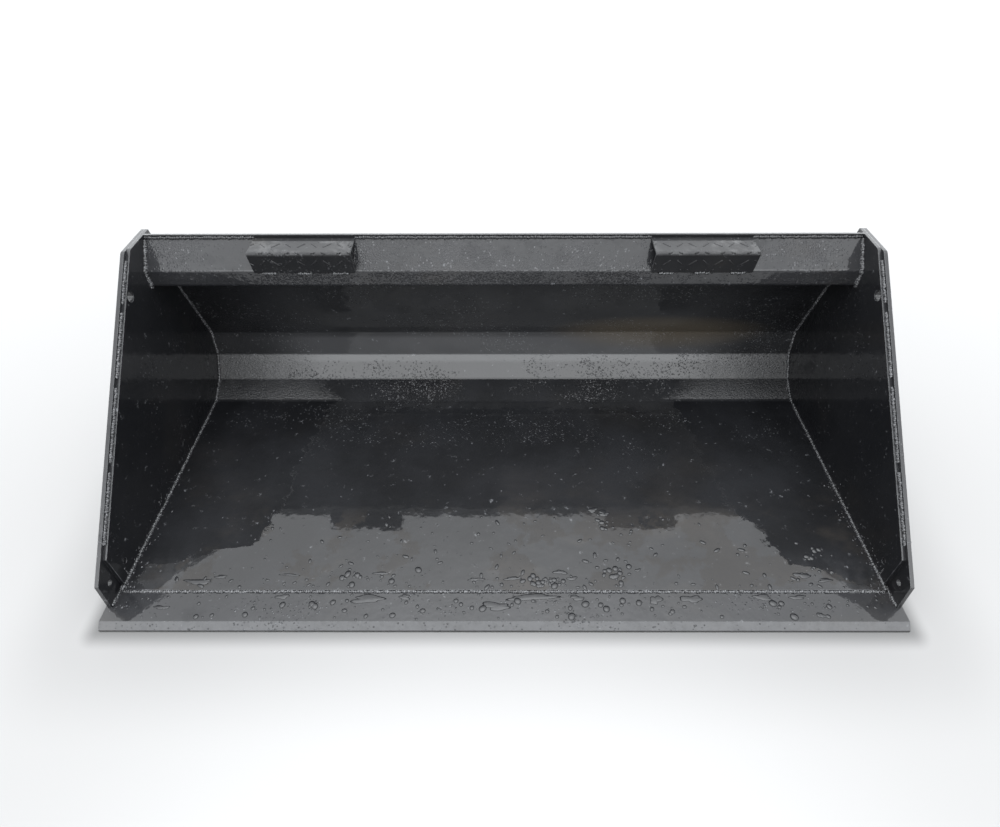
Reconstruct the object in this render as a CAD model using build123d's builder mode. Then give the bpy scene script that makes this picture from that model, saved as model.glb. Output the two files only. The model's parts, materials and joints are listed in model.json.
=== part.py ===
from build123d import *

import os
from math import atan2, cos, radians, sin, tan

# A 66 inch skid steer bucket, welded from bent and flame-cut steel plate.
# Millimetres. X runs across the bucket, the open side faces -Y, +Z is up and Z = 0 is the ground
# under the cutting edge and the wear strips. X = 0 and Y = 0 are the middle of the overall box.
# Distances called setback are measured from the lip of the cutting edge towards the back.

# Whole bucket, across the sides; the cutting edge stands out a little at both ends
overall_width = 1676
overall_depth = 936
bucket_height = 542

# Plate thicknesses
shell_t = 6
side_t = 8
cutter_t = 8
guard_t = 5
step_t = 5
attach_t = 10

# Cutting edge: a rolled flat bar with a bevelled lip
edge_width = 150
edge_overhang = 5
edge_t = 16
bevel_setback = 14
lip_t = 3

# Shell: one plate with a flat floor, four equal bends and a straight back that leans forward
floor_front = 84
floor_back = 688
facet = 71
bend_count = 4
bend_angle = 27.2
bend_r = 12

# Sides: an inner plate behind an outer cutter and a wear plate
nose_foot = 45
nose_setback = 50
nose_height = 86
corner_setback = 601
corner_r = 14
edge_step = 8
side_front = 97
side_tip = 709
cutter_width = 76
cutter_end = 709
cutter_seam = 92
wear_end = 350
wear_chamfer = 30

# Holes through the sides
lift_r = 12
lift_along = 93
lift_inset = 22
pair_r = 6.5
pair_setback = 105
pair_spacing = 54
pair_height = 60

# Spill guard: a bent channel across the top of the back
guard_drop = 8
guard_setback = 631
guard_edge_height = 476
guard_foot_height = 434
guard_bend_r = 4

# Steps: two bent tread plates on the guard
step_width = 232
step_centre = 455
step_setback = 613
step_foot_setback = 628
step_nose_height = 531
step_bend_r = 1

# Quick attach: plate, hook, ledge and ribs behind the shell
attach_width = 1150
attach_gap = 20
attach_top = 325
ledge_height = 52
ledge_chamfer = 18
hook_width = 55
window_width = 600
window_height = 170
window_up = 150
window_r = 30
plate_chamfer = 60
slot_length = 60
slot_width = 32
slot_spacing = 1030
slot_setback = 28
rib_t = 10
rib_places = {"outer": 560, "inner": 330}
rib_top_height = 465

# Wear strips under the floor
strip_width = 76
strip_front = 190
strip_back = 640
strip_places = {"outer": 640, "inner": 230}

# Fillet weld legs
seam_leg = 7
edge_leg = 6
guard_leg = 6
stitch_leg = 6
step_weld_leg = 5
step_weld_length = 34
step_weld_pitch = 82
step_weld_count = 3
stitch_gaps = [0.03, 0.285, 0.555, 0.80, 0.975]
stitch_gap = 22

# Worked out from the dimensions above
front = -overall_depth / 2
half_width = overall_width / 2
side_face = half_width - cutter_t
inner_half = side_face - side_t
floor_z = edge_t + shell_t
lean = bend_count * bend_angle - 90
slope = atan2(bucket_height - nose_height, corner_setback - nose_setback)
along_slope = Vector(0, cos(slope), sin(slope))
into_side = Vector(0, sin(slope), -cos(slope))
nose = Vector(0, front + nose_setback, nose_height)
top_corner = Vector(0, front + corner_setback, bucket_height)


def save(name, piece):
    piece.part.label = name
    export_step(piece.part, f"parts/{name}.step")


def bend_corner(index, outwards):
    # sharp corner of one bend, on the inside face or on a face that lies outwards of it
    y = front + floor_back
    z = floor_z
    for turn in range(1, index + 1):
        y += facet * cos(radians(turn * bend_angle))
        z += facet * sin(radians(turn * bend_angle))
    middle = radians((index + 0.5) * bend_angle)
    reach = outwards / cos(radians(bend_angle / 2))
    return y + reach * sin(middle), z - reach * cos(middle)


def back_y(outwards, z):
    # where the straight back, or a face parallel to it, stands at height z
    y_last, z_last = bend_corner(bend_count - 1, outwards)
    return y_last - (z - z_last) * tan(radians(lean))


def shell_line(outwards, top, start):
    corners = [bend_corner(index, outwards) for index in range(bend_count)]
    return [(front + start, floor_z - outwards), *corners, (back_y(outwards, top), top)]


def yz(vector):
    return vector.Y, vector.Z


os.makedirs("parts", exist_ok=True)
sides = {"left": -1, "right": 1}

# ---- Shell and cutting edge ----

with BuildPart() as shell:
    with BuildSketch(Plane.YZ.offset(-inner_half)):
        with BuildLine():
            inside = FilletPolyline(*shell_line(0, bucket_height, floor_front), radius=bend_r)
            outside = FilletPolyline(
                *shell_line(shell_t, bucket_height, floor_front), radius=bend_r + shell_t
            )
            Line(inside @ 0, outside @ 0)
            Line(inside @ 1, outside @ 1)
        make_face()
    extrude(amount=2 * inner_half)
save("shell", shell)

with BuildPart() as cutting_edge:
    with BuildSketch(Plane.YZ.offset(-half_width - edge_overhang)):
        Polygon(
            (front, 0),
            (front + edge_width, 0),
            (front + edge_width, edge_t),
            (front + bevel_setback, edge_t),
            (front, lip_t),
            align=None,
        )
    extrude(amount=overall_width + 2 * edge_overhang)
save("cutting_edge", cutting_edge)

# ---- Sides ----

lift_hole = top_corner - along_slope * lift_along + into_side * lift_inset
seam_front = nose + along_slope * cutter_seam
seam_back = seam_front + into_side * cutter_width
cutter_end_height = seam_back.Z + (front + cutter_end - seam_back.Y) * tan(slope)
inner_edge = nose + into_side * edge_step
inner_foot_height = inner_edge.Z + (front + side_front - inner_edge.Y) * tan(slope)
inner_top_setback = corner_setback + edge_step / sin(slope)
pair_front = (front + pair_setback - pair_spacing / 2, pair_height)
pair_rear = (front + pair_setback + pair_spacing / 2, pair_height)

side_outline = [
    (front + side_front, edge_t),
    *[bend_corner(index, shell_t) for index in range(bend_count)],
    (front + side_tip, bucket_height),
    (front + inner_top_setback, bucket_height),
    (front + side_front, inner_foot_height),
]
cutter_outline = [
    yz(seam_front),
    yz(seam_back),
    (front + cutter_end, cutter_end_height),
    (front + cutter_end, bucket_height),
    yz(top_corner),
]
wear_outline = [
    (front + nose_foot, edge_t),
    (front + wear_end, edge_t),
    (front + wear_end - wear_chamfer, seam_back.Z),
    yz(seam_back),
    yz(seam_front),
    yz(nose),
]


def side_piece(name, outline, inner_x, thickness, holes, round_r=0):
    # one plate of the left or the right side, standing in a Y-Z plane
    for side, sign in sides.items():
        with BuildPart() as plate:
            with BuildSketch(Plane.YZ.offset(sign * inner_x)) as face:
                Polygon(*outline, align=None)
                if round_r:
                    fillet(face.vertices().group_by(Axis.Y)[-1].sort_by(Axis.X)[0], round_r)
                for place, radius in holes:
                    with Locations(place):
                        Circle(radius, mode=Mode.SUBTRACT)
            extrude(amount=sign * thickness)
        save(f"{name}_{side}", plate)


plate_holes = [(yz(lift_hole), lift_r), (pair_rear, pair_r)]
wear_holes = [(pair_front, pair_r), (pair_rear, pair_r)]
side_piece("side_plate", side_outline, inner_half, side_t, plate_holes, corner_r)
side_piece("side_cutter", cutter_outline, side_face, cutter_t, plate_holes[:1], corner_r)
side_piece("side_wear_plate", wear_outline, side_face, cutter_t, wear_holes)

# ---- Spill guard and steps ----

guard_back_height = bucket_height - guard_drop
guard_top = (back_y(0, guard_back_height), guard_back_height)
guard_edge = (front + guard_setback, guard_edge_height)
guard_foot = (front + guard_setback, guard_foot_height)
guard_tilt = (guard_top[1] - guard_edge[1]) / (guard_top[0] - guard_edge[0])
room = overall_width / 10


def guard_face_z(y):
    return guard_edge[1] + (y - guard_edge[0]) * guard_tilt


with BuildPart() as spill_guard:
    with BuildSketch(Plane.YZ.offset(-inner_half)):
        with BuildLine():
            FilletPolyline(
                (guard_top[0] + guard_t, guard_face_z(guard_top[0] + guard_t)),
                guard_edge,
                guard_foot,
                (guard_top[0] + room, guard_foot_height),
                radius=guard_bend_r + guard_t,
            )
            offset(amount=guard_t, side=Side.LEFT)
        make_face()
        Polygon(
            (back_y(0, 0), 0),
            (back_y(0, bucket_height), bucket_height),
            (front, bucket_height),
            (front, 0),
            align=None,
            mode=Mode.INTERSECT,
        )
    extrude(amount=2 * inner_half)
save("spill_guard", spill_guard)

step_nose = (front + step_setback, step_nose_height)
step_tilt = (step_foot_setback - step_setback) / (step_nose_height - guard_edge_height)
step_foot = (step_nose[0] + room * step_tilt, step_nose[1] - room)
step_rear = guard_top

for side, sign in sides.items():
    with BuildPart() as step:
        with BuildSketch(Plane.YZ.offset(sign * step_centre - step_width / 2)):
            with BuildLine():
                FilletPolyline(step_rear, step_nose, step_foot, radius=step_bend_r + step_t)
                offset(amount=step_t, side=Side.LEFT)
            make_face()
            Polygon(
                (front, guard_face_z(front)),
                (guard_top[0] + room, guard_face_z(guard_top[0] + room)),
                (front, guard_face_z(guard_top[0] + room)),
                align=None,
                mode=Mode.INTERSECT,
            )
        extrude(amount=step_width)
    save(f"step_{side}", step)

# ---- Quick attach on the back ----

back_normal = Vector(0, cos(radians(lean)), sin(radians(lean)))
back_foot = Vector(0, *bend_corner(bend_count - 1, shell_t))
ledge_top = ledge_height + attach_t
plate_low = back_y(shell_t + attach_gap, ledge_top)
plate_rear_low = back_y(shell_t + attach_gap + attach_t, ledge_top)


def behind(x):
    # sketch plane across the back: first coordinate away from the shell, second up along it
    return Plane(origin=back_foot + Vector(x, 0, 0), x_dir=back_normal, z_dir=(1, 0, 0))


def back_point(away, up):
    point = behind(0).from_local_coords((away, up, 0))
    return point.Y, point.Z


plate_front_top = back_point(attach_gap, attach_top)
plate_rear_top = back_point(attach_gap + attach_t, attach_top)

with BuildPart() as attach_plate:
    with BuildSketch(Plane.YZ.offset(-attach_width / 2)):
        Polygon(
            (plate_low, ledge_top),
            (plate_rear_low, ledge_top),
            plate_rear_top,
            plate_front_top,
            align=None,
        )
    extrude(amount=attach_width)
    window_plane = Plane(origin=back_foot, x_dir=(-1, 0, 0), z_dir=back_normal)
    with BuildSketch(window_plane):
        with Locations((0, window_up)):
            RectangleRounded(window_width, window_height, window_r)
    extrude(amount=room, mode=Mode.SUBTRACT)
    with BuildSketch(window_plane):
        for sign in sides.values():
            with Locations((sign * attach_width / 2, attach_top)):
                Rectangle(plate_chamfer, plate_chamfer, rotation=45)
    extrude(amount=room, mode=Mode.SUBTRACT)
save("attach_plate", attach_plate)

hook_length = attach_width - plate_chamfer * 2
with BuildPart() as attach_hook:
    with BuildSketch(behind(-hook_length / 2)):
        with Locations((attach_gap + attach_t, attach_top)):
            Rectangle(hook_width, attach_t, rotation=-45, align=(Align.MIN, Align.MAX))
        with Locations((attach_gap, attach_top)):
            Rectangle(attach_t, room, align=(Align.MIN, Align.CENTER), mode=Mode.SUBTRACT)
    extrude(amount=hook_length)
save("attach_hook", attach_hook)

with BuildPart() as attach_ledge:
    with BuildSketch(Plane.XY.offset(ledge_height)) as ledge_face:
        with Locations((0, plate_low)):
            Rectangle(attach_width, -front - plate_low, align=(Align.CENTER, Align.MIN))
        chamfer(ledge_face.vertices().group_by(Axis.Y)[-1], ledge_chamfer)
        with Locations((0, plate_rear_low + slot_setback)):
            with GridLocations(slot_spacing, 0, 2, 1):
                SlotOverall(slot_length, slot_width, mode=Mode.SUBTRACT)
    extrude(amount=attach_t)
save("attach_ledge", attach_ledge)

rib_outline = [
    bend_corner(1, shell_t),
    bend_corner(2, shell_t),
    bend_corner(3, shell_t),
    (back_y(shell_t, rib_top_height), rib_top_height),
    (back_y(shell_t + attach_gap, rib_top_height), rib_top_height),
    (plate_low, ledge_top),
    (plate_low, ledge_height),
]
for place, x in rib_places.items():
    for side, sign in sides.items():
        with BuildPart() as rib:
            with BuildSketch(Plane.YZ.offset(sign * x - rib_t / 2)):
                Polygon(*rib_outline, align=None)
            extrude(amount=rib_t)
        save(f"rib_{place}_{side}", rib)

# ---- Wear strips under the floor ----

for place, x in strip_places.items():
    for side, sign in sides.items():
        with BuildPart() as strip:
            with BuildSketch(Plane.YZ.offset(sign * x - strip_width / 2)):
                Polygon(
                    (front + strip_front, 0),
                    (front + strip_back - edge_t, 0),
                    (front + strip_back, edge_t),
                    (front + strip_front, edge_t),
                    align=None,
                )
            extrude(amount=strip_width)
        save(f"wear_strip_{place}_{side}", strip)

# ---- Weld beads that show ----

for side, sign in sides.items():
    corner_x = sign * inner_half
    with BuildPart() as seam_weld:
        with BuildLine(Plane.YZ.offset(corner_x)):
            FilletPolyline(*shell_line(0, guard_foot_height - guard_t, floor_front), radius=bend_r)
        with BuildSketch(Plane.XZ.offset(-front - floor_front)):
            Polygon(
                (corner_x, floor_z),
                (corner_x - sign * seam_leg, floor_z),
                (corner_x, floor_z + seam_leg),
                align=None,
            )
        sweep()
    save(f"seam_weld_{side}", seam_weld)

with BuildPart() as edge_weld:
    with BuildSketch(Plane.YZ.offset(-inner_half)):
        Polygon(
            (front + floor_front, edge_t),
            (front + floor_front, floor_z),
            (front + floor_front - edge_leg, edge_t),
            align=None,
        )
    extrude(amount=2 * inner_half)
save("edge_weld", edge_weld)

# the guard's weld stops at the steps, which come up to the top of the guard
guard_weld_front = guard_top[0] - guard_leg
step_inner = step_centre - step_width / 2
step_outer = step_centre + step_width / 2
guard_weld_runs = [(-inner_half, -step_outer), (-step_inner, step_inner), (step_outer, inner_half)]
with BuildPart() as guard_weld:
    for run_start, run_end in guard_weld_runs:
        with BuildSketch(Plane.YZ.offset(run_start)):
            Polygon(
                guard_top,
                (back_y(0, guard_back_height + guard_leg), guard_back_height + guard_leg),
                (guard_weld_front, guard_face_z(guard_weld_front)),
                align=None,
            )
        extrude(amount=run_end - run_start)
save("guard_weld", guard_weld)

stitch_start = inner_edge + along_slope * ((front + side_front - inner_edge.Y) / cos(slope))
stitch_run = (front + inner_top_setback - front - side_front) / cos(slope)

for side, sign in sides.items():
    with BuildPart() as cutter_weld:
        for low, high in zip(stitch_gaps, stitch_gaps[1:]):
            first = stitch_start + along_slope * (low * stitch_run + stitch_gap / 2)
            length = (high - low) * stitch_run - stitch_gap
            base = Vector(sign * side_face, first.Y, first.Z)
            with BuildSketch(Plane(origin=base, x_dir=(-sign, 0, 0), z_dir=along_slope)):
                Polygon(
                    (0, 0),
                    (stitch_leg, 0),
                    (0, sign * stitch_leg),
                    align=None,
                )
            extrude(amount=length)
    save(f"cutter_weld_{side}", cutter_weld)

step_weld_top = guard_edge_height - guard_bend_r
for side, sign in sides.items():
    with BuildPart() as step_weld:
        for k in range(step_weld_count):
            middle = sign * step_centre + (k - (step_weld_count - 1) / 2) * step_weld_pitch
            with BuildSketch(Plane.YZ.offset(middle - step_weld_length / 2)):
                Polygon(
                    (front + step_setback, step_weld_top),
                    (front + guard_setback, step_weld_top),
                    (front + guard_setback, step_weld_top - step_weld_leg),
                    align=None,
                )
            extrude(amount=step_weld_length)
    save(f"step_weld_{side}", step_weld)
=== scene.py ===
import json
import math
import random

import bpy
from mathutils import Matrix, Vector


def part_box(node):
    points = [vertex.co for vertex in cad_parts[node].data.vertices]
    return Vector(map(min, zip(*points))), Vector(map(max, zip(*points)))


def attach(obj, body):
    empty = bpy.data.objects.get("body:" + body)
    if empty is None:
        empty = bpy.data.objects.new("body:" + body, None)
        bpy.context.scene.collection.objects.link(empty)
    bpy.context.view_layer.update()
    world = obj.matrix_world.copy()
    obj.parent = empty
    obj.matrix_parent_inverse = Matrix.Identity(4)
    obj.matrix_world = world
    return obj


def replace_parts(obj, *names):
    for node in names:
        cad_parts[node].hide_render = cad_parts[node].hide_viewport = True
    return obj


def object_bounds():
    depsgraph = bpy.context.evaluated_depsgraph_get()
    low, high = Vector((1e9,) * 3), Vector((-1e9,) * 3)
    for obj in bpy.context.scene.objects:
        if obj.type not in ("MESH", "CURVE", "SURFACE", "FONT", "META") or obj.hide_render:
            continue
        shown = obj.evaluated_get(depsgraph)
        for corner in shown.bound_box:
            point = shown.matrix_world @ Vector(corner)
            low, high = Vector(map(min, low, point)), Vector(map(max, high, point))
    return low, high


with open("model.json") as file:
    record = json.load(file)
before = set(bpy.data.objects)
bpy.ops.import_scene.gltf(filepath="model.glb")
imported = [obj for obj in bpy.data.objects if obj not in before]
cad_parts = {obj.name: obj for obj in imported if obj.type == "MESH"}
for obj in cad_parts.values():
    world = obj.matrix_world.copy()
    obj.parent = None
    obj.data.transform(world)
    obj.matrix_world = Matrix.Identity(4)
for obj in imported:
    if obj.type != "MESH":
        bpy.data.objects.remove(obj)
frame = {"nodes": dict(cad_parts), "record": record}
nodes = frame["nodes"]
cadLow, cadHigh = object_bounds()
scene = bpy.context.scene
scene.view_settings.view_transform = "Standard"
bpy.ops.object.select_all(action="DESELECT")
random.seed(66)
print("frame loaded:", len(nodes), "nodes")

# metres ahead of the lip and above the ground, and degrees
camera = {"sensor": 36, "lens": 22.43, "ahead": 0.6313, "height": 1.2187, "aside": -0.0023,
          "tilt": 43.32, "turn": 0.28, "roll": 0.23}


def addCamera():
    data = bpy.data.cameras.new("camera")
    data.sensor_width = camera["sensor"]
    data.lens = camera["lens"]
    lens = bpy.data.objects.new("camera", data)
    scene.collection.objects.link(lens)
    place = Matrix.Translation((camera["aside"], cadLow.y - camera["ahead"], camera["height"]))
    turn = Matrix.Rotation(math.radians(camera["turn"]), 4, "Z")
    tilt = Matrix.Rotation(math.radians(90 - camera["tilt"]), 4, "X")
    roll = Matrix.Rotation(math.radians(-camera["roll"]), 4, "Z")
    lens.matrix_world = place @ turn @ tilt @ roll
    scene.camera = lens


def addNode(tree, kind, settings=None, inputs=None):
    # inputs are given by name or number, as values or as sockets to link
    node = tree.nodes.new(kind)
    for key, value in (settings or {}).items():
        setattr(node, key, value)
    for key, value in (inputs or {}).items():
        if isinstance(value, bpy.types.NodeSocket):
            tree.links.new(value, node.inputs[key])
        else:
            node.inputs[key].default_value = value
    return node


def calc(tree, step, *values, clamp=False):
    settings = {"operation": step, "use_clamp": clamp}
    return addNode(tree, "ShaderNodeMath", settings, dict(enumerate(values))).outputs[0]


def remap(tree, value, low, high, toLow=0.0, toHigh=1.0):
    ends = {"Value": value, "From Min": low, "From Max": high, "To Min": toLow, "To Max": toHigh}
    return addNode(tree, "ShaderNodeMapRange", {"interpolation_type": "SMOOTHSTEP"}, ends).outputs[0]


def fadeOut(tree, value, low, high, least=0.0):
    return remap(tree, value, low, high, 1.0, least)


def cloud(tree, place, scale, detail, rough):
    inputs = {"Vector": place, "Scale": scale, "Detail": detail, "Roughness": rough}
    return addNode(tree, "ShaderNodeTexNoise", None, inputs).outputs["Fac"]


def axesOf(tree, place):
    return addNode(tree, "ShaderNodeSeparateXYZ", None, {0: place}).outputs


def stretched(tree, place, size):
    return addNode(tree, "ShaderNodeMapping", None, {"Vector": place, "Scale": size}).outputs[0]


def mixColour(tree, amount, first, second):
    node = addNode(tree, "ShaderNodeMix", {"data_type": "RGBA"}, {0: amount, 6: first, 7: second})
    return node.outputs[2]


def mixValue(tree, amount, first, second):
    node = addNode(tree, "ShaderNodeMix", {"data_type": "FLOAT"}, {0: amount, 2: first, 3: second})
    return node.outputs[0]


def bump(tree, height, distance, strength, normal=None):
    inputs = {"Height": height, "Distance": distance, "Strength": strength}
    if normal:
        inputs["Normal"] = normal
    return addNode(tree, "ShaderNodeBump", None, inputs).outputs[0]


domeSpread = 0.35  # how quickly the domes reach full size as more cells are filled


def droplets(tree, place, scale, share, size):
    # round domes, one in some of the cells, each with its own radius: 0 between them, 1 at their tops,
    # and a number for each cell that sorts dark droplets from bright ones
    cells = addNode(tree, "ShaderNodeTexVoronoi", None, {"Vector": place, "Scale": scale})
    pick = addNode(tree, "ShaderNodeSeparateColor", None, {0: cells.outputs["Color"]})
    crowd = calc(tree, "SUBTRACT", 1.0, share)
    radius = remap(tree, calc(tree, "SUBTRACT", pick.outputs[0], crowd), 0.0, domeSpread, 0.0, size)
    inside = calc(tree, "SUBTRACT", radius, cells.outputs["Distance"], clamp=True)
    dome = calc(tree, "POWER", calc(tree, "DIVIDE", inside, size), 0.5)
    return dome, pick.outputs[1]


# how strong each part of the sky is, and between which heights or distances ahead it starts and ends
sky = {"zenith": 2.30, "rise": (0.0, 0.75), "ahead": 0.60, "behind": 2.75, "turn": (0.1, 0.9),
       "crown": 2.9, "crownSpan": (0.78, 1.0), "tint": (0.96, 0.98, 1, 1),
       "glow": 2.6, "glowRise": (0.15, 0.42), "glowFall": (0.55, 0.80), "glowTurn": (-0.8, -0.3)}


def addSky():
    # brighter behind than ahead, with a bright crown overhead and a band of glow ahead
    world = bpy.data.worlds.new("studio")
    scene.world = world
    world.use_nodes = True
    tree = world.node_tree
    tree.nodes.clear()
    axes = axesOf(tree, addNode(tree, "ShaderNodeTexCoord").outputs["Generated"])
    horizon = remap(tree, axes["Y"], *sky["turn"], sky["ahead"], sky["behind"])
    light = mixValue(tree, remap(tree, axes["Z"], *sky["rise"]), horizon, sky["zenith"])
    light = calc(tree, "ADD", light, remap(tree, axes["Z"], *sky["crownSpan"], 0.0, sky["crown"]))
    risen = remap(tree, axes["Z"], *sky["glowRise"])
    band = calc(tree, "MULTIPLY", risen, fadeOut(tree, axes["Z"], *sky["glowFall"]))
    ahead = remap(tree, axes["Y"], *sky["glowTurn"], sky["glow"], 0.0)
    light = calc(tree, "MULTIPLY_ADD", band, ahead, light)
    back = addNode(tree, "ShaderNodeBackground", None, {"Color": sky["tint"], "Strength": light})
    out = addNode(tree, "ShaderNodeOutputWorld")
    tree.links.new(back.outputs[0], out.inputs[0])


# painted contact shadow: the ground darkens in two steps close to the bucket; each step has the distances and
# shades it goes between
ground = {"size": 40, "below": 0.0005, "colour": (0.334, 0.331, 0.328, 1), "gloss": 0.14, "shine": 0.9,
          "near": (0.0, 0.045, 0.30, 0.84), "far": (0.045, 0.24, 0.84, 1.0)}


def addGround():
    bpy.ops.mesh.primitive_plane_add(size=ground["size"], location=(0, 0, cadLow.z - ground["below"]))
    floor = bpy.context.object
    floor.name = "studio_floor"
    paint = bpy.data.materials.new("studioFloor")
    paint.use_nodes = True
    tree = paint.node_tree
    shader = tree.nodes["Principled BSDF"]
    axes = axesOf(tree, addNode(tree, "ShaderNodeTexCoord").outputs["Object"])
    # painted contact shadow: the ground is darker the nearer it is to the bucket's footprint
    gaps = []
    for axis, half in (("X", cadHigh.x), ("Y", cadHigh.y)):
        gap = calc(tree, "SUBTRACT", calc(tree, "ABSOLUTE", axes[axis]), half)
        gap = calc(tree, "MAXIMUM", gap, 0.0)
        gaps.append(calc(tree, "MULTIPLY", gap, gap))
    away = calc(tree, "SQRT", calc(tree, "ADD", *gaps))
    contactShadow = calc(tree, "MULTIPLY", remap(tree, away, *ground["near"]), remap(tree, away, *ground["far"]))
    shade = mixColour(tree, contactShadow, (0, 0, 0, 1), ground["colour"])
    tree.links.new(shade, shader.inputs["Base Color"])
    shader.inputs["Roughness"].default_value = ground["gloss"]
    shader.inputs["Specular IOR Level"].default_value = ground["shine"]
    floor.data.materials.append(paint)
    bpy.ops.object.select_all(action="DESELECT")


addCamera()
addSky()
addGround()
print("camera and studio")

# the bucket's own lines, in metres, as its parts were cut and bent
lip = cadLow.y
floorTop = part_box("edge_weld")[1].z
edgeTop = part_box("cutting_edge")[1].z
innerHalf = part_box("shell")[1].x
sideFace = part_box("side_plate_right")[1].x
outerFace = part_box("side_cutter_right")[1].x
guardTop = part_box("spill_guard")[1].z
rimTop = cadHigh.z
shape = {"flatStart": 0.084, "flatEnd": 0.688, "facet": 0.071, "bends": 4, "bend": math.radians(27.2),
         "shell": 0.006, "nose": (0.050, 0.086), "corner": 0.601, "edgeStep": 0.008, "sideFront": 0.097,
         "cutterWidth": 0.076, "cutterSeam": 0.092, "cutterEnd": 0.709, "wearFoot": 0.045,
         "wearEnd": 0.350, "wearChamfer": 0.030, "guardFront": 0.631, "guardEdge": 0.476,
         "guardFoot": 0.434, "plateGap": 0.020, "plateThick": 0.010, "plateTop": 0.325}
lean = shape["bends"] * shape["bend"] - math.pi / 2
backAway = Vector((0, math.cos(lean), math.sin(lean)))
backUp = Vector((0, -math.sin(lean), math.cos(lean)))
across = Vector((1, 0, 0))
up = Vector((0, 0, 1))
rearwards = Vector((0, 1, 0))


def at(setback, height, x=0.0):
    return Vector((x, lip + setback, height))


def bendCorner(index, outwards=0.0):
    y = shape["flatEnd"]
    z = floorTop
    for turn in range(1, index + 1):
        y += shape["facet"] * math.cos(turn * shape["bend"])
        z += shape["facet"] * math.sin(turn * shape["bend"])
    halfway = (index + 0.5) * shape["bend"]
    reach = outwards / math.cos(shape["bend"] / 2)
    return at(y + reach * math.sin(halfway), z - reach * math.cos(halfway))


def onBack(height, outwards=0.0):
    last = bendCorner(shape["bends"] - 1, outwards)
    return last + backUp * ((height - last.z) / backUp.z)


def shellLine(outwards, top, start):
    corners = [bendCorner(index, outwards) for index in range(shape["bends"])]
    return [at(start, floorTop - outwards), *corners, onBack(top, outwards)]


def moved(points, x):
    return [Vector((x, point.y, point.z)) for point in points]


def spread(point, low, high):
    # a line across the bucket, through the point
    return moved([point], low) + moved([point], high)


nose = at(*shape["nose"])
topCorner = at(shape["corner"], rimTop)
slope = (topCorner - nose).normalized()
intoSide = Vector((0, slope.z, -slope.y))
seamFront = nose + slope * shape["cutterSeam"]
seamBack = seamFront + intoSide * shape["cutterWidth"]
guardRear = onBack(guardTop)
guardEdge = at(shape["guardFront"], shape["guardEdge"])
guardFall = (guardEdge - guardRear).normalized()

# enamel is dark paint on hot-rolled plate, under films and beads of water
baseLook = {
    "dark": (0.0066, 0.0070, 0.0084, 1), "light": (0.0115, 0.0120, 0.0140, 1), "mottle": (5.0, 0.35, 0.68),
    "topShade": 1.0, "mud": (0.034, 0.029, 0.024, 1), "dust": (0.075, 0.076, 0.080, 1),
    "bareMetalAndGlint": (0.16, 0.165, 0.175, 1), "warmHighlight": (0.052, 0.042, 0.029, 1), "stain": 0.25, "silt": 0.0,
    "edge": 0.002, "wear": 0.6, "scuffedLip": 0.0, "grain": 0.35, "floor": False,
    "thin": 0.56, "thinSoft": 0.16, "thinScale": 13.0, "low": 0.72, "fine": 0.45, "grains": 230.0,
    "coarse": 0.05, "bright": 0.3, "glint": 0.35, "smooth": 0.06, "ripple": 0.25}
looks = {
    "shell_paint": {
        "floor": True, "dark": (0.0030, 0.0033, 0.0042, 1), "light": (0.0074, 0.0079, 0.0095, 1),
        "stain": 0.45, "silt": 0.13, "thin": 0.50, "thinSoft": 0.035, "thinScale": 5.5, "low": 0.70,
        "fine": 0.70, "grains": 260.0, "coarse": 0.03, "ripple": 0.05, "smooth": 0.045},
    "side_paint": {
        "dark": (0.0055, 0.0059, 0.0073, 1), "light": (0.0090, 0.0094, 0.0110, 1),
        "stain": 0.12, "wear": 0.9, "low": 0.5, "fine": 0.20, "coarse": 0.02},
    "edge_paint": {
        "stain": 0.30, "silt": 0.05, "wear": 0.7, "scuffedLip": 0.22, "low": 0.80, "fine": 0.30,
        "coarse": 0.10},
    "guard_paint": {
        "stain": 0.25, "thin": 0.52, "thinSoft": 0.08, "low": 0.86, "fine": 0.95, "grains": 250.0,
        "coarse": 0.03, "bright": 0.06, "glint": 0.25},
    "tread_plate_paint": {
        "dark": (0.012, 0.0125, 0.014, 1), "light": (0.018, 0.018, 0.019, 1), "stain": 0.6, "wear": 0.35,
        "thin": 0.36, "low": 0.42, "fine": 0.40, "coarse": 0.04, "bright": 0.35, "glint": 0.35},
    "attach_paint": {"stain": 0.5, "wear": 0.8, "fine": 0.2, "coarse": 0.03},
    "wear_paint": {"stain": 0.8, "wear": 1.0, "low": 0.4, "fine": 0.05, "coarse": 0.02},
    "weld_paint": {
        "dark": (0.008, 0.0085, 0.010, 1), "light": (0.11, 0.112, 0.118, 1), "mottle": (330.0, 0.46, 0.60),
        "topShade": 0.15, "edge": 0.0005, "wear": 0.3, "grain": 1.0, "low": 0.9, "fine": 0.3, "coarse": 0.05,
        "smooth": 0.12},
}
# scale, detail and roughness of each noise
noises = {
    "mill": (140.0, 3.0, 0.7), "mud": (3.2, 7.0, 0.66), "silt": (26.0, 5.0, 0.65), "chips": (60.0, 5.0, 0.7),
    "waves": (22.0, 2.0, 0.5), "ripple": (70.0, 2.0, 0.5), "patches": (4.5, 5.0, 0.6),
    "grit": (170.0, 3.0, 0.7), "coast": (20.0, 8.0, 0.74)}


def spotOn(tree):
    # where the shading is: how far off the middle and behind the lip, and whether it is above the flat floor
    place = addNode(tree, "ShaderNodeTexCoord").outputs["Object"]
    axes = axesOf(tree, place)
    return {"place": place, "x": axes["X"], "z": axes["Z"],
            "aside": calc(tree, "ABSOLUTE", axes["X"]),
            "setback": calc(tree, "SUBTRACT", axes["Y"], lip),
            "raised": calc(tree, "GREATER_THAN", axes["Z"], floorTop + wetness["foldFoot"])}
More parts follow.
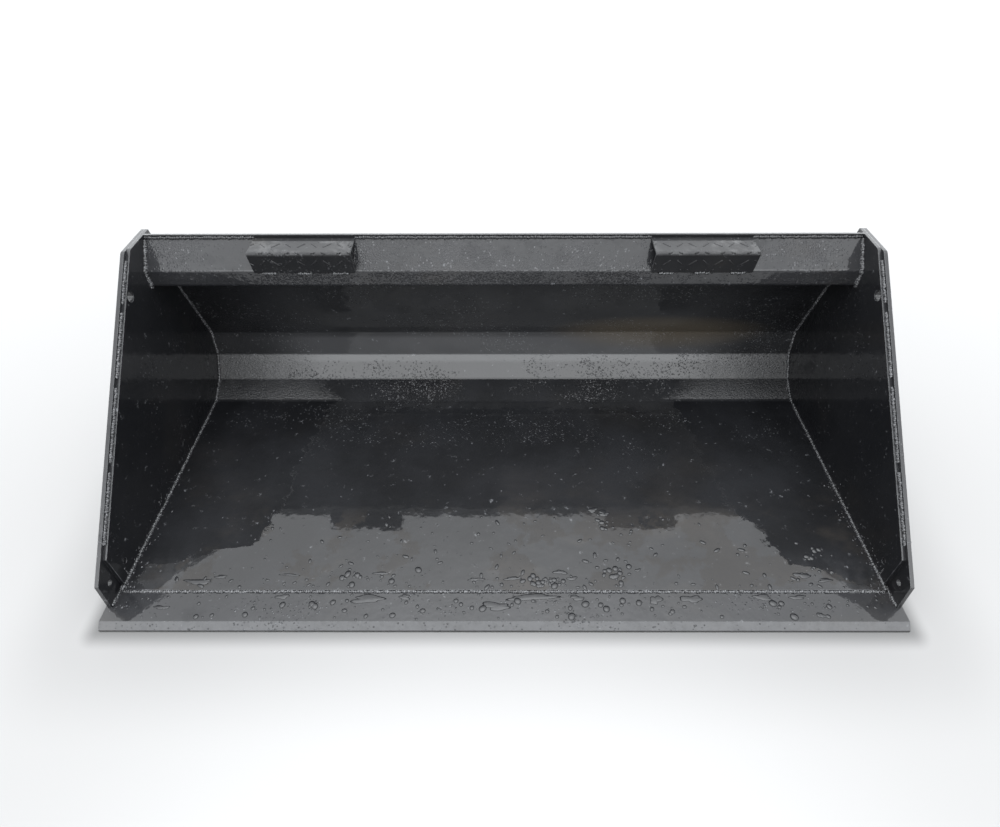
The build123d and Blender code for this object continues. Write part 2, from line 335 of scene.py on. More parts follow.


# spans of the stains and of the painted warm highlight behind the lip, off the middle and above the ground,
# in metres, and how strong each is
stains = {
    "streak": (1.0, 1.6, 1.6), "mudCover": (0.50, 0.72), "mudFade": (0.24, 0.40, 0.20),
    "siltLean": 1.08, "siltStart": (0.832, 0.875), "siltFade": (0.13, 0.19), "siltCover": (0.36, 0.62),
    "fold": (0.090, 0.100), "overFold": (0.160, 0.176, 0.30), "foldEnds": (0.52, 0.70, 0.15),
    "foldDust": 0.47, "warmHighlightPlace": (("x", 0.44, 0.34), ("z", 0.190, 0.070)), "warmHighlightMost": 0.75}


def stained(tree, spot, look, colour):
    # brown mud, grey silt beside the side plates, pale dust on the steep fold and the back, and a painted
    # highlight: a soft warm-brown patch on the fold and back
    streaks = stretched(tree, spot["place"], stains["streak"])
    mud = remap(tree, cloud(tree, streaks, *noises["mud"]), *stains["mudCover"])
    if look["floor"]:
        mud = calc(tree, "MULTIPLY", mud, fadeOut(tree, spot["setback"], *stains["mudFade"]))
    colour = mixColour(tree, calc(tree, "MULTIPLY", mud, look["stain"]), colour, look["mud"])
    if look["silt"]:
        beside = calc(tree, "MULTIPLY_ADD", spot["aside"], stains["siltLean"], spot["setback"])
        silt = remap(tree, beside, *stains["siltStart"])
        silt = calc(tree, "MULTIPLY", silt, fadeOut(tree, spot["setback"], *stains["siltFade"]))
        cover = remap(tree, cloud(tree, spot["place"], *noises["silt"]), *stains["siltCover"])
        silt = calc(tree, "MULTIPLY", calc(tree, "MULTIPLY", silt, cover), look["silt"])
        colour = mixColour(tree, silt, colour, look["dust"])
    if look["floor"]:
        fold = remap(tree, spot["z"], *stains["fold"])
        fold = calc(tree, "MULTIPLY", fold, fadeOut(tree, spot["z"], *stains["overFold"]))
        fold = calc(tree, "MULTIPLY", fold, fadeOut(tree, spot["aside"], *stains["foldEnds"]))
        colour = mixColour(tree, calc(tree, "MULTIPLY", fold, stains["foldDust"]), colour, look["dust"])
        # painted highlight: a soft warm-brown patch, strongest at its middle, standing in for a brownish
        # reflection
        reach = []
        for way, middle, half in stains["warmHighlightPlace"]:
            off = calc(tree, "DIVIDE", calc(tree, "SUBTRACT", spot[way], middle), half)
            reach.append(calc(tree, "MULTIPLY", off, off))
        warmHighlight = remap(tree, calc(tree, "ADD", *reach), 0.0, 1.0, stains["warmHighlightMost"], 0.0)
        colour = mixColour(tree, warmHighlight, colour, look["warmHighlight"])
    return colour


wearMarks = {"chipDepth": 1.12, "span": (-0.30, -0.16), "rub": (0.0130, 0.0155),
             "rubCover": (0.25, 0.60, 0.35), "shadowedLipFoot": (0.0032, 0.0042)}


def wornEdges(tree, spot, look, edge):
    # bare metal where the rounded normal leaves the flat one, and on the scuffed lip; the lip's lowest few
    # millimetres stay unworn and dark as a painted contact shadow
    flat = addNode(tree, "ShaderNodeNewGeometry").outputs["Normal"]
    turn = addNode(tree, "ShaderNodeVectorMath", {"operation": "DOT_PRODUCT"}, {0: edge, 1: flat})
    chips = cloud(tree, spot["place"], *noises["chips"])
    depth = calc(tree, "MULTIPLY", chips, wearMarks["chipDepth"])
    worn = remap(tree, calc(tree, "SUBTRACT", depth, turn.outputs["Value"]), *wearMarks["span"])
    if look["scuffedLip"]:
        rub = fadeOut(tree, spot["setback"], *wearMarks["rub"])
        rub = calc(tree, "MULTIPLY", rub, remap(tree, chips, *wearMarks["rubCover"]))
        worn = calc(tree, "MAXIMUM", worn, calc(tree, "MULTIPLY", rub, look["scuffedLip"]))
        # painted contact shadow: no wear on the lowest 3 to 4 mm of the lip, so a dark line runs along the
        # ground
        worn = calc(tree, "MULTIPLY", worn, remap(tree, spot["z"], *wearMarks["shadowedLipFoot"]))
    return calc(tree, "MULTIPLY", worn, look["wear"])


# how far the film reaches off the middle, at each distance behind the lip
filmEdge = {
    "left": [(0.083, 0.790), (0.146, 0.785), (0.152, 0.740), (0.162, 0.700), (0.185, 0.665), (0.199, 0.585),
             (0.240, 0.552), (0.300, 0.545), (0.60, 0.50)],
    "right": [(0.083, 0.790), (0.110, 0.760), (0.135, 0.715), (0.151, 0.648), (0.191, 0.622), (0.235, 0.606),
              (0.281, 0.562), (0.320, 0.550), (0.60, 0.50)],
    "waver": 0.15, "soft": 0.0022}


def floorFilm(tree, spot):
    # the film of water on the floor: everything ahead of a ragged line, and the middle behind it
    reaches = []
    for side in ("left", "right"):
        line = addNode(tree, "ShaderNodeFloatCurve", None, {"Factor": 1.0, "Value": spot["setback"]})
        curve = line.mapping.curves[0]
        points = filmEdge[side]
        curve.points[0].location = points[0]
        curve.points[1].location = points[-1]
        for point in points[1:-1]:
            curve.points.new(*point)
        line.mapping.update()
        reaches.append(line.outputs[0])
    onRight = calc(tree, "GREATER_THAN", spot["x"], 0.0)
    reach = mixValue(tree, onRight, *reaches)
    ragged = calc(tree, "SUBTRACT", cloud(tree, spot["place"], *noises["coast"]), 0.5)
    beyond = calc(tree, "SUBTRACT", reach, spot["aside"])
    beyond = calc(tree, "MULTIPLY_ADD", ragged, filmEdge["waver"], beyond)
    film = remap(tree, beyond, -filmEdge["soft"], filmEdge["soft"])
    return calc(tree, "MAXIMUM", film, spot["raised"])


# scale and size of the large droplets, spans of the water behind the lip, off the middle and above the floor,
# and how deep and strong each part of its relief is
wetness = {
    "large": (75.0, 0.45), "smallSize": 0.60, "darkDrop": -0.55, "drift": (1.0, 2.2, 2.2),
    "driftCover": (0.40, 0.66), "crowd": (0.3, 1.6), "farCrowd": (0.42, 0.62, 0.14, 0.55),
    "foldFoot": 0.003, "foldRise": (0.002, 0.006), "foldCrowd": 0.5, "siltUnder": (0.26, 0.32),
    "mist": (0.42, 0.62), "mistStretch": (1.0, 1.5, 1.5), "curlStart": 0.5, "curl": 0.12, "thin": (6.0, 0.65)}
relief = {"waves": (0.004, 0.12), "ripple": 0.0012, "small": (0.0010, 0.8), "large": (0.0020, 0.8),
          "film": (0.0015, 0.7), "grit": (0.0016, 0.6)}


def thinPlaces(tree, spot, look):
    # how much of the film is left: less in patches, but not on the folds
    patch = cloud(tree, spot["place"], look["thinScale"], *wetness["thin"])
    thin = fadeOut(tree, patch, look["thin"], look["thin"] + look["thinSoft"], look["low"])
    return calc(tree, "MAXIMUM", thin, spot["raised"]) if look["floor"] else thin


def standingDroplets(tree, spot, look):
    # droplets of two sizes; the small ones gather in patches and keep off the wet floor
    drift = cloud(tree, stretched(tree, spot["place"], wetness["drift"]), *noises["patches"])
    few, many = wetness["crowd"]
    crowd = remap(tree, drift, *wetness["driftCover"], look["fine"] * few, look["fine"] * many)
    if look["floor"]:
        low, high = (floorTop + rise for rise in wetness["foldRise"])
        raised = remap(tree, spot["z"], low, high, 0.0, wetness["foldCrowd"])
        share = calc(tree, "MAXIMUM", raised, remap(tree, spot["setback"], *wetness["farCrowd"]))
        crowd = calc(tree, "MULTIPLY", crowd, share)
    small, sort = droplets(tree, spot["place"], look["grains"], crowd, wetness["smallSize"])
    scale, size = wetness["large"]
    large, _ = droplets(tree, spot["place"], scale, look["coarse"], size)
    return small, large, calc(tree, "MULTIPLY", small, calc(tree, "GREATER_THAN", sort, 1 - look["bright"]))


def waterRelief(tree, spot, look, waves, edge, small, large, film):
    # the water's own surface, over the rounded edges of the plate
    water = bump(tree, waves, *relief["waves"], edge)
    water = bump(tree, cloud(tree, spot["place"], *noises["ripple"]), relief["ripple"], look["ripple"], water)
    water = bump(tree, small, *relief["small"], water)
    water = bump(tree, large, *relief["large"], water)
    if film:
        water = bump(tree, film, *relief["film"], water)
        mist = calc(tree, "MULTIPLY", remap(tree, spot["aside"], *wetness["mist"]), spot["raised"])
        grit = cloud(tree, stretched(tree, spot["place"], wetness["mistStretch"]), *noises["grit"])
        grit = calc(tree, "MULTIPLY", calc(tree, "SUBTRACT", grit, 0.5), mist)
        water = bump(tree, grit, *relief["grit"], water)
        curl = calc(tree, "SUBTRACT", spot["aside"], wetness["curlStart"], clamp=True)
        water = bump(tree, calc(tree, "POWER", curl, 2.0), wetness["curl"], 1.0, water)
    return water


plateFinish = {"gloss": 0.58, "shine": 0.18, "clouds": (5.0, 0.6), "topBand": (0.012, 0.006),
               "edgeSamples": 4, "waves": (0.004, 0.25), "mill": 0.0006}


def enamel(name, look):
    paint = bpy.data.materials.new(name)
    paint.use_nodes = True
    tree = paint.node_tree
    shader = tree.nodes["Principled BSDF"]
    spot = spotOn(tree)

    # dry plate: broad clouds of shade, darker on the bead along the guard's top, then stains and worn edges
    size, least, most = look["mottle"]
    broad = remap(tree, cloud(tree, spot["place"], size, *plateFinish["clouds"]), least, most)
    low, high = (guardTop - below for below in plateFinish["topBand"])
    broad = calc(tree, "MULTIPLY", broad, fadeOut(tree, spot["z"], low, high, look["topShade"]))
    colour = stained(tree, spot, look, mixColour(tree, broad, look["dark"], look["light"]))
    fine = {"samples": plateFinish["edgeSamples"]}
    edge = addNode(tree, "ShaderNodeBevel", fine, {"Radius": look["edge"]}).outputs[0]
    colour = mixColour(tree, wornEdges(tree, spot, look, edge), colour, look["bareMetalAndGlint"])
    waves = cloud(tree, spot["place"], *noises["waves"])
    plate = bump(tree, waves, *plateFinish["waves"], edge)
    plate = bump(tree, cloud(tree, spot["place"], *noises["mill"]), plateFinish["mill"], look["grain"], plate)
    tree.links.new(plate, shader.inputs["Normal"])
    shader.inputs["Roughness"].default_value = plateFinish["gloss"]
    shader.inputs["Specular IOR Level"].default_value = plateFinish["shine"]

    # water: a film with thin places and silt under them, then droplets, some dark and some bright; the bright
    # ones also get a paler base colour as painted glints
    film = floorFilm(tree, spot) if look["floor"] else None
    wet = thinPlaces(tree, spot, look)
    if film:
        under = calc(tree, "MULTIPLY", calc(tree, "SUBTRACT", 1.0, wet), film)
        under = calc(tree, "MULTIPLY", under, fadeOut(tree, spot["setback"], *wetness["siltUnder"]))
        colour = mixColour(tree, under, colour, look["mud"])
        wet = calc(tree, "MULTIPLY", film, wet)
    small, large, bright = standingDroplets(tree, spot, look)
    dark = calc(tree, "SUBTRACT", small, bright, clamp=True)
    wet = calc(tree, "MULTIPLY_ADD", dark, wetness["darkDrop"], wet, clamp=True)
    wet = calc(tree, "MAXIMUM", wet, calc(tree, "MAXIMUM", large, bright), clamp=True)
    tree.links.new(wet, shader.inputs["Coat Weight"])
    shader.inputs["Coat Roughness"].default_value = look["smooth"]
    # painted glints: the bright droplets take the pale bare-metal colour
    colour = mixColour(tree, calc(tree, "MULTIPLY", bright, look["glint"]), colour, look["bareMetalAndGlint"])
    tree.links.new(colour, shader.inputs["Base Color"])
    water = waterRelief(tree, spot, look, waves, edge, small, large, film)
    tree.links.new(water, shader.inputs["Coat Normal"])
    return paint


paints = {slot: enamel(slot, {**baseLook, **look}) for slot, look in looks.items()}
slotOf = {row["node"]: row["material_slot"] for row in frame["record"]["subparts"]}
for name, node in nodes.items():
    node.data.materials.clear()
    node.data.materials.append(paints[slotOf[name]])
print("enamel on every node:", len(paints), "paints")

waterLook = {"body": (0.0075, 0.008, 0.0095, 1), "deep": (0.012, 0.0125, 0.014, 1),
             "shades": (90.0, 3.0, 0.6), "shadeCover": (0.35, 0.65),
             "quiver": (120.0, 2.0, 0.5), "quiverDepth": (0.0006, 0.25),
             "gloss": 0.5, "shine": 0.2, "coat": 0.86, "smooth": 0.02}


def waterPaint():
    # clear water seen against dark enamel: a dark body under a smooth clear coat
    paint = bpy.data.materials.new("standing_water")
    paint.use_nodes = True
    tree = paint.node_tree
    shader = tree.nodes["Principled BSDF"]
    place = addNode(tree, "ShaderNodeTexCoord").outputs["Object"]
    shade = remap(tree, cloud(tree, place, *waterLook["shades"]), *waterLook["shadeCover"])
    tree.links.new(mixColour(tree, shade, waterLook["body"], waterLook["deep"]), shader.inputs["Base Color"])
    quiver = bump(tree, cloud(tree, place, *waterLook["quiver"]), *waterLook["quiverDepth"])
    tree.links.new(quiver, shader.inputs["Coat Normal"])
    shader.inputs["Roughness"].default_value = waterLook["gloss"]
    shader.inputs["Specular IOR Level"].default_value = waterLook["shine"]
    shader.inputs["Coat Weight"].default_value = waterLook["coat"]
    shader.inputs["Coat Roughness"].default_value = waterLook["smooth"]
    return paint


waterCoat = waterPaint()


def finishPiece(piece, name, sharp):
    bpy.ops.object.select_all(action="DESELECT")
    piece.select_set(True)
    bpy.context.view_layer.objects.active = piece
    bpy.ops.object.transform_apply(location=True, rotation=True, scale=True)
    bpy.ops.object.shade_smooth_by_angle(angle=math.radians(sharp))
    piece.name = name
    piece.data.name = name
    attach(piece, "root")
    bpy.ops.object.select_all(action="DESELECT")
    return piece


def addTwin(original, place):
    twin = original.copy()
    twin.data = original.data.copy()
    twin.matrix_world = place
    scene.collection.objects.link(twin)
    return twin


def joinCopies(name, copies, paint, sharp):
    bpy.ops.object.select_all(action="DESELECT")
    for twin in copies:
        twin.select_set(True)
    bpy.context.view_layer.objects.active = copies[0]
    bpy.ops.object.join()
    piece = copies[0]
    piece.data.materials.clear()
    piece.data.materials.append(paint)
    return finishPiece(piece, name, sharp)


def layCopies(name, original, places, paint, sharp):
    # one copy of the shape at each matrix, each with its own mesh, then all joined
    return joinCopies(name, [addTwin(original, place) for place in places], paint, sharp)


def discard(original):
    mesh = original.data
    bpy.data.objects.remove(original)
    bpy.data.meshes.remove(mesh)


def turned(along, out, centre, size):
    # a place whose X follows `along` and whose Z points `out`, with a size each way
    side = out.cross(along).normalized()
    out = along.cross(side).normalized()
    axes = Matrix((along, side, out)).transposed().to_4x4()
    return Matrix.Translation(centre) @ axes @ Matrix.Diagonal((*size, 1))


# weld beads are overlapping ripples laid in each corner, leaning back along it
bead = {"pitch": 0.0046, "rearPitch": 0.0065, "long": 0.95, "wide": 0.62, "high": 0.46, "jitter": 0.20,
        "tilt": 20, "tiltJitter": 8, "wander": 0.0008, "lift": 0.22, "cut": -0.45, "sharp": 60}


def makeRipple():
    bpy.ops.mesh.primitive_uv_sphere_add(segments=10, ring_count=6, radius=1)
    ripple = bpy.context.object
    bpy.ops.object.mode_set(mode="EDIT")
    bpy.ops.mesh.select_all(action="SELECT")
    bpy.ops.transform.rotate(value=math.pi / 2, orient_axis="Y", center_override=(0, 0, 0))
    bpy.ops.mesh.bisect(plane_co=(0, 0, bead["cut"]), plane_no=(0, 0, 1), clear_inner=True, use_fill=True)
    bpy.ops.object.mode_set(mode="OBJECT")
    return ripple


def beadPlaces(path, first, second, leg, pitch):
    # ripples along a path, in the corner between two plates that lead off in `first` and `second`
    places = []
    for start, end in zip(path, path[1:]):
        along = (end - start).normalized()
        out = (first(along) + second(along)).normalized()
        length = (end - start).length
        count = max(1, round(length / pitch))
        for k in range(count):
            centre = start + along * (length * (k + 0.5) / count) + out * leg * bead["lift"]
            centre += Vector([random.uniform(-1, 1) * bead["wander"] for _ in range(3)])
            swell = leg * (1 + random.uniform(-1, 1) * bead["jitter"])
            size = (pitch * bead["long"], swell * bead["wide"], swell * bead["high"])
            tilt = bead["tilt"] + random.uniform(-bead["tiltJitter"], bead["tiltJitter"])
            back = Matrix.Rotation(math.radians(tilt), 4, "Y")
            places.append(turned(along, out, centre, size) @ back)
    return places


def layBead(name, jobs, pitch=bead["pitch"]):
    # each job is a path, the two ways that its plates lead off, and the bead's leg
    places = []
    for path, first, second, leg in jobs:
        places += beadPlaces(path, first, second, leg, pitch)
    return layCopies(name, ripple, places, paints["weld_paint"], bead["sharp"])


def fixed(direction):
    return lambda along: direction


def inward(along):
    # off the inside of the shell, for a path that runs rearwards and up
    return Vector((0, -along.z, along.y))


def outward(along):
    # off the outside of the shell, or off the front of the guard for a path that runs down it
    return Vector((0, along.z, -along.y))


def runs(start, end, laid, gap):
    # short welds with gaps between them, spread evenly from start to end
    total = (end - start).length
    count = max(1, round((total + gap) / (laid + gap)))
    along = (end - start).normalized()
    step = (total + gap) / count
    return [[start + along * step * k, start + along * (step * (k + 1) - gap)] for k in range(count)]


# legs of the front welds, and how far each line starts from the corner it follows
frontWeld = {
    "seamLeg": 0.0066, "edgeLeg": 0.0065, "guardLeg": 0.0065, "guardEndLeg": 0.0090, "cutterLeg": 0.0068,
    "stepLeg": 0.0062, "seamShort": 0.005, "footStart": 0.004, "guardEndStart": 0.006,
    "stitches": [0.03, 0.285, 0.555, 0.80, 0.975], "stitchGap": 0.022,
    "stepCentre": 0.455, "stepLong": 0.034, "stepPitch": 0.082, "stepUnder": (0.0015, 0.003)}


def sideSeams(side, sign):
    toMiddle = fixed(across * -sign)
    seam = shellLine(0, shape["guardFoot"] - frontWeld["seamShort"], shape["flatStart"])
    foot = [at(shape["wearFoot"] + frontWeld["footStart"], edgeTop), at(shape["sideFront"], edgeTop)]
    jobs = [(moved(seam, sign * innerHalf), toMiddle, inward, frontWeld["seamLeg"]),
            (moved(foot, sign * sideFace), toMiddle, fixed(up), frontWeld["edgeLeg"])]
    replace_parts(layBead(f"seam_bead_{side}", jobs), f"seam_weld_{side}")


def cutterStitches(side, sign):
    innerEdge = nose + intoSide * shape["edgeStep"]
    first = innerEdge + slope * ((lip + shape["sideFront"] - innerEdge.y) / slope.y)
    last = innerEdge + slope * ((rimTop - innerEdge.z) / slope.z)
    run = last - first
    gap = slope * frontWeld["stitchGap"] / 2
    jobs = []
    for low, high in zip(frontWeld["stitches"], frontWeld["stitches"][1:]):
        stitch = moved([first + run * low + gap, first + run * high - gap], sign * sideFace)
        jobs.append((stitch, fixed(across * -sign), fixed(-intoSide), frontWeld["cutterLeg"]))
    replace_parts(layBead(f"cutter_bead_{side}", jobs), f"cutter_weld_{side}")


def stepStitches(side, sign):
    ahead, below = frontWeld["stepUnder"]
    under = at(shape["guardFront"] - ahead, shape["guardEdge"] - below)
    half = frontWeld["stepLong"] / 2
    jobs = []
    for k in (-1, 0, 1):
        centre = sign * frontWeld["stepCentre"] + k * frontWeld["stepPitch"]
        stitch = spread(under, centre - half, centre + half)
        jobs.append((stitch, fixed(-rearwards), fixed(-up), frontWeld["stepLeg"]))
    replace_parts(layBead(f"step_bead_{side}", jobs), f"step_weld_{side}")


def guardEnd(side, sign):
    start = guardRear + guardFall * frontWeld["guardEndStart"]
    line = [start, guardEdge, at(shape["guardFront"], shape["guardFoot"])]
    job = (moved(line, sign * innerHalf), fixed(across * -sign), outward, frontWeld["guardEndLeg"])
    layBead(f"guard_end_bead_{side}", [job])


def edgeAndGuard():
    rim = spread(at(shape["flatStart"], edgeTop), -innerHalf, innerHalf)
    job = (rim, fixed(-rearwards), fixed(up), frontWeld["edgeLeg"])
    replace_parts(layBead("edge_bead", [job]), "edge_weld")
    left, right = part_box("step_left"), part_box("step_right")
    jobs = []
    for low, high in ((-innerHalf, left[0].x), (left[1].x, right[0].x), (right[1].x, innerHalf)):
        ridge = spread(guardRear, low, high)
        jobs.append((ridge, fixed(guardFall), fixed(backUp), frontWeld["guardLeg"]))
    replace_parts(layBead("guard_bead", jobs), "guard_weld")


# legs of the rear welds, how long each run and gap is, and how far each line stops short of a corner
rearWeld = {
    "edgeLeg": 0.006, "edgeStart": 0.160, "edgeShort": 0.01,
    "sideLeg": 0.007, "sideRuns": (0.06, 0.05), "buttLeg": 0.005, "buttShort": 0.004, "buttSink": 0.0012,
    "leg": 0.008, "ribX": [0.560, 0.330], "ribHalf": 0.005, "ribTop": 0.465,
    "plateShort": 0.01, "plateRuns": (0.07, 0.05), "topLeg": 0.006, "topSink": 0.001,
    "stripLeg": 0.007, "stripX": [0.640, 0.230], "stripHalf": 0.038, "stripEnds": (0.200, 0.622),
    "stripRuns": (0.06, 0.08), "underLeg": 0.006}


def bothSides(places):
    return [sign * place for sign in (-1, 1) for place in places]


def sideBeads():
    jobs = []
    for sign in (-1, 1):
        sideOut = fixed(across * sign)
        line = shellLine(shape["shell"], rimTop - rearWeld["edgeShort"], rearWeld["edgeStart"])
        jobs.append((moved(line, sign * innerHalf), outward, outward, rearWeld["edgeLeg"]))
        low = at(shape["wearEnd"] - shape["wearChamfer"], seamBack.z, sign * sideFace)
        foot = at(shape["wearEnd"], edgeTop, sign * sideFace)
        cutterEnd = seamBack + slope * ((lip + shape["cutterEnd"] - seamBack.y) / slope.y)
        rear = moved([seamBack, cutterEnd], sign * sideFace)
        for stitch in runs(*rear, *rearWeld["sideRuns"]):
            jobs.append((stitch, sideOut, fixed(intoSide), rearWeld["sideLeg"]))
        jobs.append(([rear[0], low], sideOut, fixed(up), rearWeld["sideLeg"]))
        jobs.append(([low, foot], sideOut, fixed(rearwards), rearWeld["sideLeg"]))
        short = intoSide * rearWeld["buttShort"]
        butt = moved([seamFront + short, seamBack - short], sign * (outerFace - rearWeld["buttSink"]))
        jobs.append((butt, sideOut, sideOut, rearWeld["buttLeg"]))
    layBead("side_beads", jobs, bead["rearPitch"])


def ribBeads():
    line = [bendCorner(index, shape["shell"]) for index in (1, 2, 3)]
    line.append(onBack(rearWeld["ribTop"], shape["shell"]))
    jobs = []
    for x in bothSides(rearWeld["ribX"]):
        for sign in (-1, 1):
            path = moved(line, x + sign * rearWeld["ribHalf"])
            jobs.append((path, fixed(across * sign), outward, rearWeld["leg"]))
    layBead("rib_beads", jobs, bead["rearPitch"])


def plateBeads():
    short = rearWeld["plateShort"]
    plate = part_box("attach_plate")
    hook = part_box("attach_hook")
    away = shape["plateGap"] + shape["plateThick"]
    ledge = onBack(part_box("attach_ledge")[1].z, shape["shell"] + away)
    foot = bendCorner(shape["bends"] - 1, shape["shell"])
    top = foot + backAway * away + backUp * (shape["plateTop"] - rearWeld["topSink"])
    jobs = []
    for stitch in runs(*spread(ledge, plate[0].x + short, plate[1].x - short), *rearWeld["plateRuns"]):
        jobs.append((stitch, fixed(rearwards), fixed(backUp), rearWeld["leg"]))
    line = spread(top, hook[0].x + short, hook[1].x - short)
    jobs.append((line, fixed(backUp), fixed(backAway), rearWeld["topLeg"]))
    layBead("plate_beads", jobs, bead["rearPitch"])


def stripBeads():
    jobs = []
    for x in bothSides(rearWeld["stripX"]):
        for sign in (-1, 1):
            aside = x + sign * rearWeld["stripHalf"]
            front, rear = (at(setback, edgeTop, aside) for setback in rearWeld["stripEnds"])
            for stitch in runs(front, rear, *rearWeld["stripRuns"]):
                jobs.append((stitch, fixed(across * sign), fixed(-up), rearWeld["stripLeg"]))
    layBead("strip_beads", jobs, bead["rearPitch"])


def guardUnderBead():
    line = spread(onBack(shape["guardFoot"]), -innerHalf, innerHalf)
    job = (line, fixed(-rearwards), fixed(-backUp), rearWeld["underLeg"])
    layBead("guard_under_bead", [job], bead["rearPitch"])


ripple = makeRipple()
for side, sign in (("left", -1), ("right", 1)):
    sideSeams(side, sign)
    cutterStitches(side, sign)
    stepStitches(side, sign)
    guardEnd(side, sign)
edgeAndGuard()
sideBeads()
ribBeads()
plateBeads()
stripBeads()
guardUnderBead()
discard(ripple)
print("weld beads laid")

# raised bars of the tread plate on the steps, from a nose line up to the guard and down to the foot
tread = {"long": 0.024, "wide": 0.0050, "high": 0.0024, "topTaper": (0.80, 0.42, 1), "round": 0.0005,
         "pitch": 0.0285, "lean": math.pi / 4, "nose": (0.613, 0.531), "foot": (0.628, 0.476),
         "margin": 0.0015, "footMargin": 0.006, "topFacing": 0.9, "sharp": 50}


def pick(piece, test):
    # in edit mode, selects the faces whose normal passes the test
    bpy.ops.mesh.select_mode(type="FACE")
    bpy.ops.mesh.select_all(action="DESELECT")
    bpy.ops.object.mode_set(mode="OBJECT")
    for face in piece.data.polygons:
        face.select = test(face.normal)
    bpy.ops.object.mode_set(mode="EDIT")


def makeTreadBar():
    bpy.ops.mesh.primitive_cube_add(size=1)
    bar = bpy.context.object
    bpy.ops.object.mode_set(mode="EDIT")
    bpy.ops.mesh.select_all(action="SELECT")
    bpy.ops.transform.resize(value=(tread["long"], tread["wide"], tread["high"]))
    pick(bar, lambda normal: normal.z > tread["topFacing"])
    bpy.ops.transform.resize(value=tread["topTaper"])
    bpy.ops.mesh.select_all(action="SELECT")
    bpy.ops.mesh.bevel(offset=tread["round"], segments=2, affect="EDGES")
    bpy.ops.object.mode_set(mode="OBJECT")
    return bar


def trim(piece, cuts):
    # cuts the piece off beyond each plane, given by a point and the way that is cut away
    bpy.context.view_layer.objects.active = piece
    bpy.ops.object.mode_set(mode="EDIT")
    for point, beyond in cuts:
        bpy.ops.mesh.select_all(action="SELECT")
        bpy.ops.mesh.bisect(plane_co=point, plane_no=beyond, clear_outer=True, use_fill=True)
    bpy.ops.object.mode_set(mode="OBJECT")


def treadPlaces(start, end, low, high, out):
    # bars in rows down a face and columns across it, each turned the other way from the next
    down = (end - start).normalized()
    depth = (end - start).length
    rows = round(depth / tread["pitch"])
    columns = round((high - low) / tread["pitch"])
    places = []
    for row in range(rows + 1):
        for column in range(columns + 1):
            middle = start + down * (depth * row / rows)
            middle.x = low + (high - low) * column / columns
            lean = tread["lean"] if (row + column) % 2 else -tread["lean"]
            along = across * math.cos(lean) + down * math.sin(lean)
            places.append(turned(along, out, middle, (1, 1, 1)))
    return places


def addTread():
    bar = makeTreadBar()
    noseLine = at(*tread["nose"])
    keep = tread["margin"]
    for side in ("left", "right"):
        low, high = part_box(f"step_{side}")
        for face, end in (("top", guardRear), ("front", at(*tread["foot"]))):
            down = (end - noseLine).normalized()
            out = across.cross(down)
            if out.dot(up - rearwards) < 0:
                out = -out
            places = treadPlaces(noseLine, end, low.x, high.x, out)
            piece = layCopies(f"tread_bars_{face}_{side}", bar, places,
                              paints["tread_plate_paint"], tread["sharp"])
            trim(piece, [(noseLine + down * keep, -down), (end - down * tread["footMargin"], down),
                         (Vector((low.x + keep, 0, 0)), -across), (Vector((high.x - keep, 0, 0)), across)])
    discard(bar)


addTread()
print("tread bars on the steps")

# drops and pools are domes cut flat just above the middle, with a foot that is drawn in a little
domes = {"flat": 0.02, "foot": (0.94, 0.94, 1), "footFacing": -0.9, "sharp": 180}


def makeDrop(segments, rings):
    bpy.ops.mesh.primitive_uv_sphere_add(segments=segments, ring_count=rings, radius=1)
    drop = bpy.context.object
    bpy.ops.object.mode_set(mode="EDIT")
    bpy.ops.mesh.select_all(action="SELECT")
    bpy.ops.mesh.bisect(plane_co=(0, 0, domes["flat"]), plane_no=(0, 0, 1), clear_inner=True, use_fill=True)
    pick(drop, lambda normal: normal.z < domes["footFacing"])
    bpy.ops.transform.resize(value=domes["foot"], center_override=(0, 0, 0))
    bpy.ops.object.mode_set(mode="OBJECT")
    return drop


# where the drops are off the middle and behind the lip, their radius in metres, how few of them are large,
# and how long for their width; each chain has its own middle, count, width and depth
drops = {
    "edge": [{"count": 46, "x": (-0.70, 0.74), "setback": (0.024, 0.062),
              "size": (0.0042, 0.0085), "few": 1.8, "long": (1.0, 1.25)},
             {"count": 190, "x": (-0.80, 0.80), "setback": (0.017, 0.076),
              "size": (0.0010, 0.0034), "few": 2.0, "long": (1.0, 1.3)}],
    "bevel": {"count": 110, "run": 0.014, "foot": 0.003, "part": (0.1, 0.9), "x": (-0.82, 0.82),
              "size": (0.0008, 0.0022), "few": 1.6, "long": 1.1},
    "floor": {"count": 260, "start": 0.090, "reach": 0.190, "near": 1.7,
              "size": (0.0012, 0.0046), "few": 2.2, "long": (1.0, 2.2)},
    "chain": {"nearest": 0.094, "size": (0.0025, 0.0075), "few": 1.5, "long": (1.0, 1.5)},
    "chains": [(0.235, 0.262, 13, 0.022, 0.034), (0.700, 0.165, 20, 0.045, 0.045),
               (0.100, 0.105, 26, 0.075, 0.014), (0.250, 0.125, 22, 0.045, 0.030),
               (-0.300, 0.120, 18, 0.120, 0.018)],
    "high": 0.36, "weldGap": 0.007}


def between(ends, power=1.0):
    return ends[0] + (ends[1] - ends[0]) * random.random() ** power


def dropAt(x, setback, size, long, face=None):
    # a drop on the floor or the cutting edge, or on a face given by a point and its normal
    spin = random.uniform(0, math.tau)
    along = Vector((math.cos(spin), math.sin(spin), 0))
    sizes = (size * long, size, size * drops["high"])
    if face:
        point, out = face
        return turned((along - out * along.dot(out)).normalized(), out, point, sizes)
    top = edgeTop if setback < shape["flatStart"] - drops["weldGap"] else floorTop
    return turned(along, up, at(setback, top, x), sizes)


